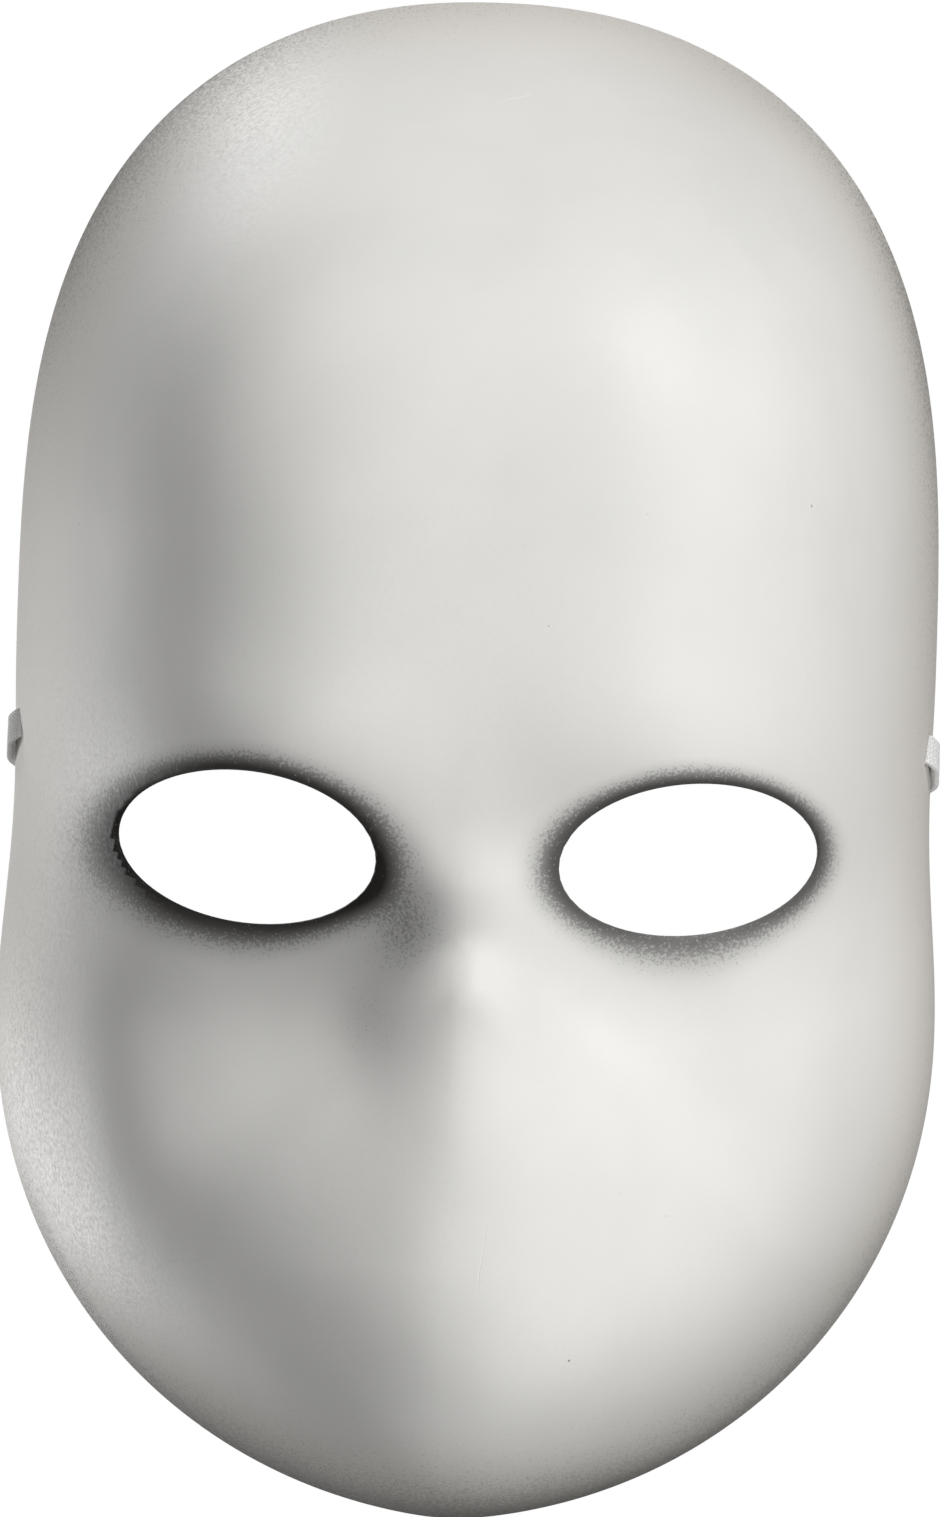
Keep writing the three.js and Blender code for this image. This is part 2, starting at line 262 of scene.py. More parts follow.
COLUMNS = 150
ROWS = 230
SNAP = 0.55            # a vertex this close to an eye opening's edge is moved onto it
EDGE_ROUND = 0.28      # how far the middle of a cut edge stands out
EYE_EDGE_RUN = 4.0     # how far from an eye opening its cut still turns the inner surface
EYE_EDGE_STEEP = 0.35  # the sheet's slope past which that turn grows no further


def grid_points():
    """The shell's grid: a square drawn into the outline, as a square is drawn into a disc."""
    s, t = np.meshgrid(np.linspace(-1, 1, COLUMNS + 1), np.linspace(-1, 1, ROWS + 1))
    p = s * np.sqrt(1 - t * t / 2)
    q = t * np.sqrt(1 - s * s / 2)
    angle = np.arctan2(q, p)
    out = np.minimum(np.hypot(p, q), 1)
    radius = rim_radius(angle) * np.sin(out * math.pi / 2)
    return radius * np.cos(angle), radius * np.sin(angle), out


def snap_to_eyes(x, z):
    """Moves the vertices next to an eye opening's edge onto it."""
    h = 0.01
    for side in (1, -1):
        near = np.abs(eye_value(x, z, side)) < SNAP
        for _ in range(3):
            value = eye_value(x, z, side)
            gx = (eye_value(x + h, z, side) - eye_value(x - h, z, side)) / (2 * h)
            gz = (eye_value(x, z + h, side) - eye_value(x, z - h, side)) / (2 * h)
            size = np.maximum(gx * gx + gz * gz, 1e-9)
            x = np.where(near, x - value * gx / size, x)
            z = np.where(near, z - value * gz / size, z)
    return x, z


def sheet_normals(points):
    """Outward over the grid; along the trimmed rim they lie in the rim's own plane."""
    normals = np.cross(np.gradient(points, axis=1), np.gradient(points, axis=0))
    rim = np.zeros(points.shape[:2], bool)
    rim[0], rim[-1], rim[:, 0], rim[:, -1] = True, True, True, True
    angle = np.arctan2(points[..., 2], points[..., 0])
    step = 0.05
    before, after = angle - step, angle + step
    run_x = rim_radius(after) * np.cos(after) - rim_radius(before) * np.cos(before)
    run_z = rim_radius(after) * np.sin(after) - rim_radius(before) * np.sin(before)
    flat = np.stack([run_z, np.zeros_like(run_z), -run_x], -1)
    normals = np.where(rim[..., None], flat, normals)
    return normals / np.linalg.norm(normals, axis=-1, keepdims=True)


def shell_layers():
    """Outer points, their normals, and the faces left once the eye openings are cut."""
    x, z, out = grid_points()
    x, z = snap_to_eyes(x, z)
    depth = np.where(out > 0.9999, 0, depth_at(x, z))
    grid = np.stack([x, -depth, z], -1)
    points = [list(p) for p in grid.reshape(-1, 3)]
    normals = [list(n) for n in sheet_normals(grid).reshape(-1, 3)]
    value = eye_distance(x, z).ravel()
    value = np.where(np.abs(value) < 1e-3, 0.0, value)
    cuts = {}

    def cut(a, b):
        """The new point where an opening's edge crosses from vertex a to vertex b."""
        key = (min(a, b), max(a, b))
        if key in cuts:
            return cuts[key]
        pa, pb = points[a], points[b]
        low, high = 0.0, 1.0
        for _ in range(20):
            mid = (low + high) / 2
            v = float(eye_distance(pa[0] + (pb[0] - pa[0]) * mid, pa[2] + (pb[2] - pa[2]) * mid))
            if (v > 0) == (value[a] > 0):
                low = mid
            else:
                high = mid
        cx = pa[0] + (pb[0] - pa[0]) * mid
        cz = pa[2] + (pb[2] - pa[2]) * mid
        points.append([cx, -float(depth_at(cx, cz)), cz])
        n = [from_a + (from_b - from_a) * mid for from_a, from_b in zip(normals[a], normals[b])]
        size = math.sqrt(sum(c * c for c in n))
        normals.append([c / size for c in n])
        cuts[key] = len(points) - 1
        return cuts[key]

    faces = []
    wide = COLUMNS + 1
    for k in (j * wide + i for j in range(ROWS) for i in range(COLUMNS)):
        corners = (k, k + 1, k + wide + 1, k + wide)
        if min(value[c] for c in corners) >= 0:
            faces.append(corners)
            continue
        if max(value[c] for c in corners) <= 0:
            continue
        face = []
        for a, b in zip(corners, corners[1:] + corners[:1]):
            if value[a] >= 0:
                face.append(a)
            if value[a] * value[b] < 0:
                face.append(cut(a, b))
        if len(face) > 2:
            faces.append(tuple(face))
    return np.array(points), np.array(normals), faces


def boundary_edges(faces):
    """The edges that belong to one face only, in that face's direction."""
    seen = {}
    for face in faces:
        for edge in zip(face, face[1:] + face[:1]):
            if seen.pop(edge[::-1], None) is None:
                seen[edge] = True
    return list(seen)


def new_mesh(name, points, faces):
    mesh = bpy.data.meshes.new(name)
    mesh.from_pydata([tuple(p) for p in points], [], faces)
    mesh.validate()
    mesh.update()
    piece = bpy.data.objects.new(name, mesh)
    bpy.context.scene.collection.objects.link(piece)
    mesh.shade_smooth()
    return piece


def make_shell():
    outer, normals, faces = shell_layers()
    used = sorted({c for face in faces for c in face})
    place = {c: n for n, c in enumerate(used)}
    outer, normals = outer[used], normals[used]
    faces = [tuple(place[c] for c in face) for face in faces]
    # The sheet is even, but the eye openings' cut edges run straight back through it.
    square = smooth(eye_distance(outer[:, 0], outer[:, 2]) / EYE_EDGE_RUN)[:, None]
    back = np.array([0.0, 1.0, 0.0]) / np.minimum(normals[:, 1:2], -EYE_EDGE_STEEP)
    inner = outer - SHEET * (normals * square + back * (1 - square))
    count = len(outer)
    solid = faces + [tuple(count + c for c in reversed(face)) for face in faces]

    # The cut edge all round, drawn out a little in its middle so that it reads as rounded.
    border = boundary_edges(faces)
    push = np.zeros_like(outer)
    for a, b in border:
        along = outer[b] - outer[a]
        aside = np.cross(along, normals[a] + normals[b])
        push[a] += aside
        push[b] += aside
    middle = {}
    extra = []
    for c in sorted({c for edge in border for c in edge}):
        aside = push[c] / max(np.linalg.norm(push[c]), 1e-9)
        middle[c] = 2 * count + len(extra)
        extra.append((outer[c] + inner[c]) / 2 + aside * EDGE_ROUND)
    for a, b in border:
        solid.append((b, a, middle[a], middle[b]))
        solid.append((middle[b], middle[a], count + a, count + b))
    points = np.concatenate([outer, inner, np.array(extra)])
    return new_mesh("painted_shell", points * MM, solid)


def slit_cutter(side):
    """A flat bar with rounded edges along it, where one slit goes through the wall."""
    through_wall = SLIT_CUT[0] / 2 * MM
    bm = bmesh.new()
    bmesh.ops.create_cube(bm, size=1)
    bmesh.ops.scale(bm, vec=[c * MM for c in SLIT_CUT], verts=bm.verts)
    long_edges = [e for e in bm.edges if abs(e.verts[0].co.x - e.verts[1].co.x) > through_wall]
    bmesh.ops.bevel(
        bm, geom=long_edges, offset=SLIT_CUT_CORNER * MM, segments=3, affect="EDGES", profile=0.5,
    )
    bmesh.ops.translate(bm, vec=(0, -SLIT_CUT_AHEAD * MM, 0), verts=bm.verts)
    bmesh.ops.transform(bm, matrix=slit_matrix(side), verts=bm.verts)
    cutter = bpy.data.objects.new("slit_cutter", bpy.data.meshes.new("slit_cutter"))
    bm.to_mesh(cutter.data)
    bm.free()
    bpy.context.scene.collection.objects.link(cutter)
    return cutter


def cut_slits(shell):
    """Two thin slits through the side walls, for the strap's ends."""
    for side in (1, -1):
        cutter = slit_cutter(side)
        boolean = shell.modifiers.new("slit", "BOOLEAN")
        boolean.operation = "DIFFERENCE"
        boolean.solver = "EXACT"
        boolean.object = cutter
        with bpy.context.temp_override(object=shell, active_object=shell):
            bpy.ops.object.modifier_apply(modifier=boolean.name)
        bpy.data.objects.remove(cutter, do_unlink=True)


def slit_matrix(side):
    """From the strap's own directions at a slit to the frame: X outwards, Y along the strap."""
    wall = (float(half_width(SLIT_Z)) - SLIT_INSET) * MM
    place = Matrix.Translation((side * wall, -SLIT_FORWARD * MM, SLIT_Z * MM))
    return place @ Matrix.Rotation(-SLIT_LEAN, 4, "X") @ Matrix.Diagonal((side, 1, 1, 1))


# ---- Strap and staples ----

def through(points, spacing):
    """Evenly spaced points along a smooth curve through the given ones."""
    points = np.array(points, float)
    padded = np.vstack([2 * points[0] - points[1], points, 2 * points[-1] - points[-2]])
    dense = []
    for p0, p1, p2, p3 in zip(padded, padded[1:], padded[2:], padded[3:]):
        for t in np.linspace(0, 1, 24, endpoint=False):
            a = 2 * p1 + (p2 - p0) * t
            b = (2 * p0 - 5 * p1 + 4 * p2 - p3) * t ** 2
            c = (3 * p1 - p0 - 3 * p2 + p3) * t ** 3
            dense.append((a + b + c) / 2)
    dense = np.array(dense + [points[-1]])
    run = np.r_[0, np.cumsum(np.linalg.norm(np.diff(dense, axis=0), axis=1))]
    stops = np.linspace(0, run[-1], max(2, round(run[-1] / spacing)) + 1)
    return np.stack([np.interp(stops, run, dense[:, k]) for k in range(3)], -1)


def sweep(name, centres, flat_way, section, matrix=None):
    """A closed strip or wire: the section (across, out) set square to the path at each centre.
    Across lies as near to flat_way as the path allows."""
    along = np.gradient(centres, axis=0)
    along /= np.linalg.norm(along, axis=1, keepdims=True)
    across = flat_way - along * (along @ flat_way)[:, None]
    across /= np.linalg.norm(across, axis=1, keepdims=True)
    out = np.cross(along, across)
    points = []
    for centre, side, up in zip(centres, across, out):
        points += [centre + side * a + up * b for a, b in section]
    n = len(section)
    faces = []
    for ring in range(len(centres) - 1):
        for k in range(n):
            a, b = ring * n + k, ring * n + (k + 1) % n
            faces.append((a, b, b + n, a + n))
    faces.append(tuple(range(n - 1, -1, -1)))
    faces.append(tuple(len(points) - n + k for k in range(n)))
    points = np.array(points) * MM
    if matrix is not None:
        turn = np.array(matrix)
        points = points @ turn[:3, :3].T + turn[:3, 3]
    piece = new_mesh(name, points, faces)
    run = np.r_[0, np.cumsum(np.linalg.norm(np.diff(centres, axis=0), axis=1))]
    store(piece, "along", np.repeat(run, n))
    store(piece, "across", np.tile([a for a, _ in section], len(centres)))
    bm = bmesh.new()
    bm.from_mesh(piece.data)
    bmesh.ops.recalc_face_normals(bm, faces=bm.faces)
    bm.to_mesh(piece.data)
    bm.free()
    return piece


def store(piece, name, values):
    layer = piece.data.attributes.new(name, "FLOAT", "POINT")
    layer.data.foreach_set("value", np.asarray(values, np.float32))


def ribbed_section():
    """The elastic's section: rubber cores under the knit stand up as ribs on both faces."""
    rib, edge_height = 0.07, 0.26
    flat = STRAP_WIDTH / 2 - 0.2
    steps = np.linspace(-flat, flat, CORES * 4 + 1)
    ribs = STRAP_THICKNESS / 2 - rib + rib * np.cos(steps / flat * math.pi * CORES)
    upper = list(zip(steps, ribs))
    lower = [(a, -b) for a, b in reversed(upper)]
    edge = STRAP_WIDTH / 2
    right = [(edge, edge_height), (edge, -edge_height)]
    left = [(-edge, -edge_height), (-edge, edge_height)]
    return upper + right + lower + left


def round_section(radius, count=12):
    turns = [2 * math.pi * k / count for k in range(count)]
    return [(radius * math.cos(t), radius * math.sin(t)) for t in turns]


def stack_line(behind):
    """Middle of the folded end's outer layer, across the wall, that far behind the slit."""
    return -STACK_INWARDS - STACK_SLOPE * (behind - STACK_START)


def make_span():
    left = [(-x, y, z) for x, y, z in SPAN_ROUTE[1:]]
    path = through(left[::-1] + SPAN_ROUTE, 0.8)
    span = sweep("elastic_span", path, np.array([0.0, 1.0, 0.0]), ribbed_section())
    return span, path * MM


def make_folded_end(side):
    """Along the inside of the wall, out through the slit, and back over itself."""
    fold = [
        (stack_line(LEG_END), LEG_END, 0),
        (stack_line(STACK_START), STACK_START, 0),
        (-0.5, 10.9, 0),
        (0.2, 9.2, 0),
        (1.2, 7.8, 0),
        (1.65, 6.2, 0),
        (1.6, 3.4, 0),
        (1.4, 0.9, 0),
        (-0.55, -1.6, 0),
        (-2.6, 1, 0),
        (-2.3, 5, 0),
        (-2.1, 8.6, 0),
        (stack_line(STACK_START) - LAYER, STACK_START, 0),
        (stack_line(LEG_END) - LAYER, LEG_END, 0),
    ]
    name = "folded_end_" + ("right" if side > 0 else "left")
    path = through(fold, 0.5)
    return sweep(name, path, np.array([0.0, 0.0, 1.0]), ribbed_section(), slit_matrix(side))


def make_staple(side):
    """Crown outside, legs through both layers, tips turned in."""
    crown = STRAP_THICKNESS / 2 + GAP + WIRE / 2
    tips = -(LAYER + crown)
    bend, cut_back, tip_end = 0.35, 0.1, 0.45
    half = [
        (crown, 0),
        (crown, STAPLE_REACH - bend),
        (crown - cut_back, STAPLE_REACH - cut_back),
        (crown - bend, STAPLE_REACH),
        (tips + bend, STAPLE_REACH),
        (tips + cut_back, STAPLE_REACH - cut_back),
        (tips, STAPLE_REACH - bend),
        (tips - 0.05, tip_end),
    ]
    outline = [(x, -y) for x, y in half[:0:-1]] + half
    turn, inwards = math.atan(STACK_SLOPE), stack_line(STAPLE_BEHIND)
    c, s = math.cos(turn), math.sin(turn)
    wire = [(x * c - y * s + inwards, x * s + y * c + STAPLE_BEHIND, 0) for x, y in outline]
    name = "staple_wire_" + ("right" if side > 0 else "left")
    path = through(wire, 0.16)
    flat_way = np.array([0.0, 0.0, 1.0])
    return sweep(name, path, flat_way, round_section(WIRE / 2), slit_matrix(side))


# ---- Materials ----

class Nodes:
    """A material's node tree, built from the shader back to the coordinates."""

    def __init__(self, name):
        self.material = bpy.data.materials.new(name)
        self.material.use_nodes = True
        self.tree = self.material.node_tree
        self.shader = self.tree.nodes["Principled BSDF"]

    def link(self, value, socket):
        if isinstance(value, bpy.types.NodeSocket):
            self.tree.links.new(value, socket)
        else:
            socket.default_value = value

    def math(self, operation, a, b=0.0):
        node = self.tree.nodes.new("ShaderNodeMath")
        node.operation = operation
        self.link(a, node.inputs[0])
        self.link(b, node.inputs[1])
        return node.outputs[0]

    def ramp(self, value, low, high, start=0.0, end=1.0):
        """value turned smoothly from start at low to end at high."""
        node = self.tree.nodes.new("ShaderNodeMapRange")
        node.interpolation_type = "SMOOTHSTEP"
        for socket, item in zip(node.inputs, (value, low, high, start, end)):
            self.link(item, socket)
        return node.outputs[0]

    def length(self, a, b):
        squares = self.math("ADD", self.math("MULTIPLY", a, a), self.math("MULTIPLY", b, b))
        return self.math("SQRT", squares)

    def mix(self, factor, a, b):
        node = self.tree.nodes.new("ShaderNodeMix")
        node.data_type = "RGBA"
        self.link(factor, node.inputs[0])
        self.link(a, node.inputs[6])
        self.link(b, node.inputs[7])
        return node.outputs[2]

    def place(self):
        return self.tree.nodes.new("ShaderNodeTexCoord").outputs["Object"]

    def across_and_up(self):
        """The place's X and Z."""
        node = self.tree.nodes.new("ShaderNodeSeparateXYZ")
        self.tree.links.new(self.place(), node.inputs[0])
        return node.outputs[0], node.outputs[2]

    def noise(self, size, detail=2.0, roughness=0.5):
        """Grain whose lumps are about that many millimetres across."""
        node = self.tree.nodes.new("ShaderNodeTexNoise")
        node.inputs["Scale"].default_value = 1 / (size * MM)
        node.inputs["Detail"].default_value = detail
        node.inputs["Roughness"].default_value = roughness
        self.tree.links.new(self.place(), node.inputs["Vector"])
        return node.outputs[0]

    def cells(self, size):
        """Scattered points: distance to the nearest, and a random value for each."""
        node = self.tree.nodes.new("ShaderNodeTexVoronoi")
        node.inputs["Scale"].default_value = 1 / (size * MM)
        self.tree.links.new(self.place(), node.inputs["Vector"])
        split = self.tree.nodes.new("ShaderNodeSeparateColor")
        self.tree.links.new(node.outputs["Color"], split.inputs[0])
        return self.math("MULTIPLY", node.outputs["Distance"], size), split.outputs

    def attribute(self, name):
        node = self.tree.nodes.new("ShaderNodeAttribute")
        node.attribute_name = name
        return node.outputs["Fac"]

    def bump(self, height, depth):
        """height is in parts of depth, and depth in millimetres."""
        node = self.tree.nodes.new("ShaderNodeBump")
        node.inputs["Distance"].default_value = depth * MM
        self.link(height, node.inputs["Height"])
        self.tree.links.new(node.outputs[0], self.shader.inputs["Normal"])


def scratch(m, x, z, degrees, length, width):
    """1 on a hairline at that place on the face and 0 off it."""
    place_x, place_z = m.across_and_up()
    dx = m.math("SUBTRACT", place_x, x * MM)
    dz = m.math("SUBTRACT", place_z, z * MM)
    c, s = math.cos(math.radians(degrees)), math.sin(math.radians(degrees))
    along = m.math("ADD", m.math("MULTIPLY", dx, c), m.math("MULTIPLY", dz, s))
    off = m.math("SUBTRACT", m.math("MULTIPLY", dz, c), m.math("MULTIPLY", dx, s))
    wander = m.math("MULTIPLY", m.math("SUBTRACT", m.noise(6.0), 0.5), 1.2 * MM)
    off = m.math("ABSOLUTE", m.math("ADD", off, wander))
    on_line = m.ramp(off, width * MM / 2, width * MM, 1.0, 0.0)
    on_run = m.ramp(m.math("ABSOLUTE", along), length * MM / 2.6, length * MM / 2, 1.0, 0.0)
    return m.math("MULTIPLY", on_line, on_run)


def facing(way, degrees, spread):
    """1 where a direction in degrees points that way, fading to both sides."""
    return bell((way - degrees + 180) % 360 - 180, 0, spread)


def rim_spray_and_shade(x, z, from_rim):
    """How thick the black lies along the rim and in a sprayed patch beside the nose, with painted
    shade in a patch below the nose and, on top of the eye spray's haze, outside the left eye.
    """
    way = np.degrees(np.arctan2(z, x))
    amount = 0.18 + 0.66 * facing(way, -90, 38) + 0.42 * facing(way, 119, 22)
    amount += 0.38 * facing(way, 48, 20) + 0.12 * facing(way, 15, 20)
    reach = 5.0 + 3.5 * facing(way, -90, 45) + 6.0 * facing(way, 120, 24)
    spray = amount * np.exp(-((from_rim / reach) ** 1.2))
    beside_nose = 0.5 * bell(x, -11, 6.0) * bell(z, -29, 8.5)
    # Painted shade: a faint dark patch below the nose on the left, where the shape's shade falls.
    under_nose_shade = 0.20 * bell(x, -17, 5.0) * bell(z, -46, 7.0)
    # Outside the left eye: the eye spray's haze, darkened further by painted shade.
    outside_left_eye_haze_and_shade = 0.20 * bell(x, -67, 5.5) * bell(z, -21, 13.0)
    return spray + beside_nose + under_nose_shade + outside_left_eye_haze_and_shade


def eye_spray(x, z):
    """How far the black round each eye opening carries, and how solid it is: both heaviest on
    the left one, and furthest on its outer side and below the right one."""
    left = x < 0
    way = np.degrees(np.arctan2(z - EYE_Z, x - np.where(left, EYE_X[-1], EYE_X[1])))
    far_left = 3.2 + 3.6 * facing(way, 192, 42) + 1.2 * facing(way, -90, 45)
    far_left += 2.0 * facing(way, 0, 28)
    far_right = 2.7 + 2.7 * facing(way, -90, 58) + 1.4 * facing(way, 180, 30)
    far_right += 0.6 * facing(way, 0, 30)
    solid_right = 0.93 - 0.17 * facing(way, -90, 60)
    return np.where(left, far_left, far_right), np.where(left, 0.97, solid_right)


def paint_shell(shell):
    """What the spray, the painted shade and the wear depend on: distances from the edges, and the
    side.
    """
    flat = np.empty(len(shell.data.vertices) * 3)
    shell.data.vertices.foreach_get("co", flat)
    x, y, z = flat.reshape(-1, 3).T / MM
    from_rim = np.maximum(rim_radius(np.arctan2(z, x)) - np.hypot(x, z), 0)
    inside = clamp01((depth_at(x, np.clip(z, -HALF_HEIGHT, HALF_HEIGHT)) + y - 0.3) / 0.5)
    eye_reach, eye_cover = eye_spray(x, z)
    store(shell, "eye_reach", eye_reach)
    store(shell, "eye_cover", eye_cover)
    store(shell, "rim_spray_and_shade", rim_spray_and_shade(x, z, from_rim))
    store(shell, "from_rim", from_rim)
    store(shell, "low_rim", clamp01((-70 - z) / 40))
    store(shell, "inside", inside * (eye_distance(x, z) > 0.4))


def around_eye(m, side):
    """How thick the black lies round that eye opening."""
    place_x, place_z = m.across_and_up()
    dx = m.math("SUBTRACT", m.math("DIVIDE", place_x, MM), EYE_X[side])
    dz = m.math("SUBTRACT", m.math("DIVIDE", place_z, MM), EYE_Z)
    c, s = math.cos(EYE_TILT), side * math.sin(EYE_TILT)
    u = m.math("ADD", m.math("MULTIPLY", dx, c), m.math("MULTIPLY", dz, s))
    v = m.math("SUBTRACT", m.math("MULTIPLY", dz, c), m.math("MULTIPLY", dx, s))
    ovals = m.length(m.math("DIVIDE", u, EYE_HALF_LENGTH), m.math("DIVIDE", v, EYE_HALF_HEIGHT))
    beyond = m.math("SUBTRACT", 1.0, m.math("DIVIDE", 1.0, ovals))
    distance = m.math("MAXIMUM", m.math("MULTIPLY", m.length(u, v), beyond), 0.0)
    share = m.math("DIVIDE", distance, m.attribute("eye_reach"))
    ring = m.math("EXPONENT", m.math("MULTIPLY", m.math("MULTIPLY", share, share), -1.0))
    haze = m.math("MULTIPLY", m.math("EXPONENT", m.math("DIVIDE", distance, -6.0)), 0.10)
    return m.math("MAXIMUM", m.math("MULTIPLY", ring, m.attribute("eye_cover")), haze)


def painted_plastic():
    m = Nodes("painted_plastic")
    from_rim = m.attribute("from_rim")
    eyes = m.math("MAXIMUM", around_eye(m, 1), around_eye(m, -1))
    # Besides the sprayed black, the rim attribute brings in painted shade below the nose and
    # outside the left eye.
    spray = m.math("MINIMUM", m.math("ADD", eyes, m.attribute("rim_spray_and_shade")), 1.0)
    inside, low_rim = m.attribute("inside"), m.attribute("low_rim")
    drops = m.noise(0.55, 2.0, 0.8)
    clouds = m.noise(26.0, 3.0, 0.5)
    grain = m.noise(0.8, 2.0, 0.6)

    tone = m.mix(m.ramp(clouds, 0.35, 0.65), COOL_WHITE, CLEAR_WHITE)
    warm = m.ramp(from_rim, 0.0, 20.0, 0.70, 0.0)
    tone = m.mix(warm, tone, WARM_WHITE)
    tone = m.mix(m.ramp(grain, 0.45, 0.75, 0.0, 0.05), tone, GREY_GRAIN)

    # The spray is solid where it is thick and breaks up into drops where it thins out.
    gap = m.math("SUBTRACT", 0.72, m.math("MULTIPLY", spray, 0.44))
    dots = m.ramp(drops, m.math("SUBTRACT", gap, 0.03), m.math("ADD", gap, 0.03))
    dots = m.math("MULTIPLY", dots, m.ramp(spray, 0.01, 0.10))
    cover = m.math("ADD", m.math("MULTIPLY", spray, 0.78), m.math("MULTIPLY", dots, 0.22))
    tone = m.mix(cover, tone, SPRAY_BLACK)

    # Chalky crust where the trimmed lower rim picked up paint.
    crust_zone = m.math("MULTIPLY", m.ramp(from_rim, 1.2, 3.6, 1.0, 0.0), low_rim)
    crust = m.math("MULTIPLY", m.ramp(m.noise(0.7, 4.0, 0.7), 0.50, 0.60), crust_zone)
    tone = m.mix(m.math("MULTIPLY", crust, 0.55), tone, CHALK)

    # Dust specks and tiny pimples under the paint.
    distance, (chance, size, kind) = m.cells(7.5)
    core, skirt = m.ramp(size, 0.0, 1.0, 0.06, 0.16), m.ramp(size, 0.0, 1.0, 0.10, 0.26)
    speck = m.ramp(distance, core, skirt, 1.0, 0.0)
    speck = m.math("MULTIPLY", speck, m.ramp(chance, 0.58, 0.60))
    dark = m.math("MULTIPLY", speck, m.ramp(kind, 0.35, 0.40, 0.70, 0.0))
    tone = m.mix(dark, tone, DUST)

    white_line = scratch(m, 4.5, 116.5, 12, 5.0, 0.16)
    long_line = scratch(m, 4.0, -86.5, 84, 13.0, 0.14)
    low_line = scratch(m, -46.5, -89.0, 3, 8.0, 0.14)
    marks = m.math("MAXIMUM", white_line, m.math("MAXIMUM", long_line, low_line))
    tone = m.mix(m.math("MULTIPLY", marks, 0.45), tone, BARE_WHITE)

    raw = m.mix(m.noise(3.0, 3.0, 0.6), *RAW_PLASTIC)
    m.link(m.mix(inside, tone, raw), m.shader.inputs["Base Color"])
    rough = m.math("ADD", grain, m.math("MULTIPLY", cover, 0.3))
    m.link(m.ramp(rough, 0.3, 1.0, 0.50, 0.68), m.shader.inputs["Roughness"])
    m.shader.inputs["Specular IOR Level"].default_value = 0.32
    height = m.math("MULTIPLY", m.noise(1.1, 2.0, 0.5), 0.16)
    height = m.math("ADD", height, m.math("MULTIPLY", m.noise(14.0, 1.0, 0.4), 0.9))
    height = m.math("ADD", height, m.math("MULTIPLY", speck, 0.55))
    height = m.math("ADD", height, m.math("MULTIPLY", crust, 1.2))
    height = m.math("SUBTRACT", height, m.math("MULTIPLY", marks, 0.3))
    m.bump(height, 0.12)
    return m.material


def knitted_elastic():
    m = Nodes("knitted_elastic")
    along, across = m.attribute("along"), m.attribute("across")
    wale = m.math("MULTIPLY", m.math("ADD", across, STRAP_WIDTH / 2), CORES / STRAP_WIDTH)
    slant = m.math("ABSOLUTE", m.math("SUBTRACT", m.math("FRACT", wale), 0.5))
    course = m.math("ADD", m.math("MULTIPLY", along, 1.5), slant)
    stitch = m.math("SINE", m.math("MULTIPLY", course, 2 * math.pi))
    stitch = m.math("ADD", m.math("MULTIPLY", stitch, 0.5), 0.5)
    fuzz = m.noise(0.25, 3.0, 0.7)
    valley_shade = m.ramp(slant, 0.34, 0.5)
    # Painted shade and light of the knit's relief: the stitches lighter on top and darker between
    # them, and the grooves between the wales darker still.
    tone = m.mix(stitch, *STITCH_SHADE_TO_LIGHT)
    tone = m.mix(m.math("MULTIPLY", valley_shade, 0.5), tone, STITCH_VALLEY_SHADE)
    tone = m.mix(m.ramp(m.noise(9.0), 0.5, 0.8, 0.0, 0.35), tone, HANDLED)
    tone = m.mix(m.ramp(fuzz, 0.4, 0.8, 0.0, 0.35), tone, FUZZ_WHITE)
    m.link(tone, m.shader.inputs["Base Color"])
    m.link(m.ramp(fuzz, 0.2, 0.8, 0.82, 0.98), m.shader.inputs["Roughness"])
    m.shader.inputs["Sheen Weight"].default_value = 0.25
    m.shader.inputs["Subsurface Weight"].default_value = 0.5
    m.shader.inputs["Subsurface Radius"].default_value = (1, 1, 1)
    m.shader.inputs["Subsurface Scale"].default_value = 2 * MM
    m.bump(m.math("ADD", stitch, m.math("MULTIPLY", fuzz, 0.6)), 0.12)
    return m.material


def staple_steel():
    m = Nodes("staple_steel")
    streaks = m.noise(0.5, 3.0, 0.6)
    m.link(m.mix(streaks, *STEEL), m.shader.inputs["Base Color"])
    m.shader.inputs["Metallic"].default_value = 1.0
    m.link(m.ramp(streaks, 0.3, 0.7, 0.28, 0.46), m.shader.inputs["Roughness"])
    m.bump(m.noise(0.15), 0.02)
    return m.material


# ---- Camera, lights and floor ----

def make_camera():
    data = bpy.data.cameras.new("camera")
    data.sensor_width = 36
    data.lens = data.sensor_width * CAMERA_DISTANCE / FRAME_HEIGHT
    data.clip_end = 30
    camera = bpy.data.objects.new("camera", data)
    camera.location = (CAMERA_X, -CAMERA_DISTANCE, 0)
    level = Matrix.Rotation(math.pi / 2, 4, "X")
    roll = Matrix.Rotation(-CAMERA_ROLL, 4, "Y")
    camera.rotation_euler = (roll @ level).to_euler()
    bpy.context.scene.collection.objects.link(camera)
    bpy.context.scene.camera = camera


def area_light(name, azimuth, elevation, distance, size, brightness):
    """A soft box aimed at the face. Azimuth 0 is the camera's side and 90 the picture's right;
    brightness is what it alone gives a white surface that faces it."""
    a, e = math.radians(azimuth), math.radians(elevation)
    away = Vector((math.sin(a) * math.cos(e), -math.cos(a) * math.cos(e), math.sin(e)))
    data = bpy.data.lights.new(name, "AREA")
    data.shape = "RECTANGLE"
    data.size, data.size_y = size
    data.energy = brightness * math.pi ** 2 * distance ** 2
    light = bpy.data.objects.new(name, data)
    light.location = away * distance + LIGHTS_AIM
    light.rotation_euler = away.to_track_quat("Z", "Y").to_euler()
    bpy.context.scene.collection.objects.link(light)


def make_lights():
    area_light("key", 37, 50, 1.6, (0.5, 0.5), 0.63)
    area_light("front", -8, 0, 2.4, (0.6, 0.6), 0.30)
    area_light("side", -138, -13, 1.6, (0.4, 0.6), 0.50)
    area_light("back", -151, 38, 1.6, (0.5, 0.5), 0.36)
    area_light("low", 68, -34, 1.6, (0.5, 0.5), 0.42)


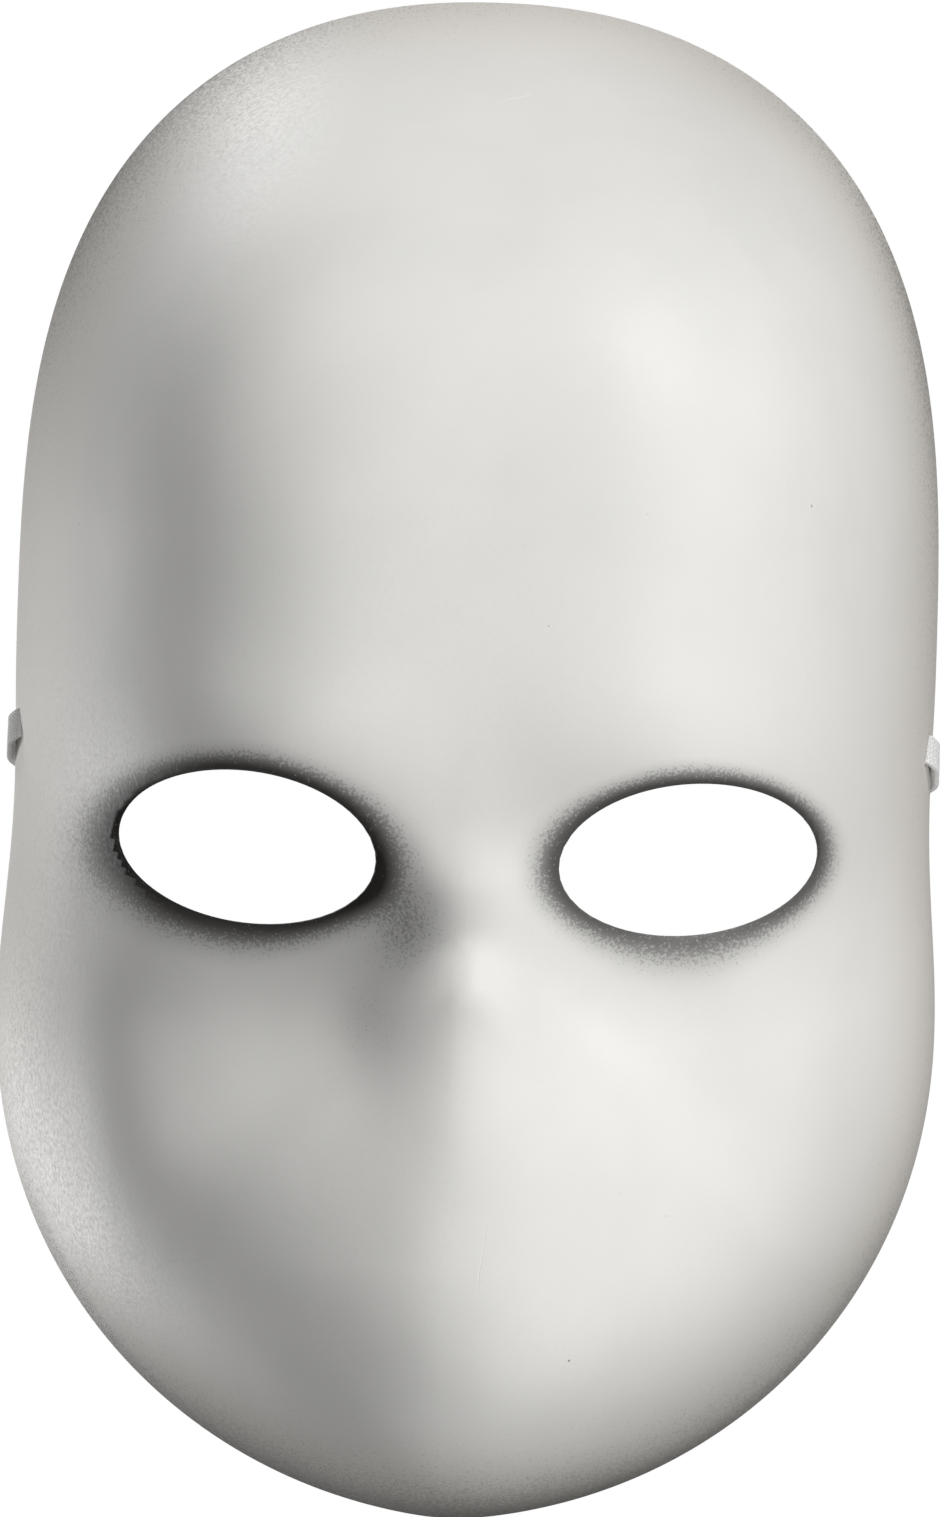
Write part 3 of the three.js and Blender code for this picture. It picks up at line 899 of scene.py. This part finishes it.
def make_world():
    """A faint even fill on the mask, and plain white behind it where the camera looks past."""
    world = bpy.data.worlds.new("studio")
    world.use_nodes = True
    nodes, links = world.node_tree.nodes, world.node_tree.links
    nodes.clear()
    out = nodes.new("ShaderNodeOutputWorld")
    mix = nodes.new("ShaderNodeMixShader")
    ray = nodes.new("ShaderNodeLightPath")
    fill = nodes.new("ShaderNodeBackground")
    fill.inputs["Strength"].default_value = FILL
    white = nodes.new("ShaderNodeBackground")
    white.inputs["Color"].default_value = (1, 1, 1, 1)
    links.new(ray.outputs["Is Camera Ray"], mix.inputs[0])
    links.new(fill.outputs[0], mix.inputs[1])
    links.new(white.outputs[0], mix.inputs[2])
    links.new(mix.outputs[0], out.inputs[0])
    bpy.context.scene.world = world
    bpy.context.scene.view_settings.view_transform = "Standard"


def make_floor():
    """A pale disc that shows the mask's soft shadow and sends no light back up at it."""
    bm = bmesh.new()
    bmesh.ops.create_circle(bm, cap_ends=True, radius=FLOOR_RADIUS, segments=96)
    floor = bpy.data.objects.new("floor", bpy.data.meshes.new("floor"))
    bm.to_mesh(floor.data)
    bm.free()
    floor.location = (0, 0, FLOOR_Z)
    floor.visible_shadow = False
    floor.visible_diffuse = False
    floor.visible_glossy = False
    bpy.context.scene.collection.objects.link(floor)
    m = Nodes("pale_floor")
    m.link(m.mix(m.noise(40.0), *FLOOR_GREY), m.shader.inputs["Base Color"])
    m.shader.inputs["Roughness"].default_value = 0.85
    m.shader.inputs["Emission Color"].default_value = (1, 1, 1, 1)
    m.shader.inputs["Emission Strength"].default_value = 0.42
    floor.data.materials.append(m.material)


# ---- The scene ----

make_camera()
span, span_path = make_span()
elastic = knitted_elastic()
span.data.materials.append(elastic)
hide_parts("strap_span")
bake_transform(span)

make_world()
make_lights()
make_floor()

shell = make_shell()
cut_slits(shell)
paint_shell(shell)
shell.data.materials.append(painted_plastic())
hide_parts("mask_shell")
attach(shell, "mask")

steel = staple_steel()
for side, word in ((1, "right"), (-1, "left")):
    end = make_folded_end(side)
    end.data.materials.append(elastic)
    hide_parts("strap_end_" + word)
    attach(end, "mask")
    wire = make_staple(side)
    wire.data.materials.append(steel)
    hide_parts("staple_" + word)
    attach(wire, "mask")
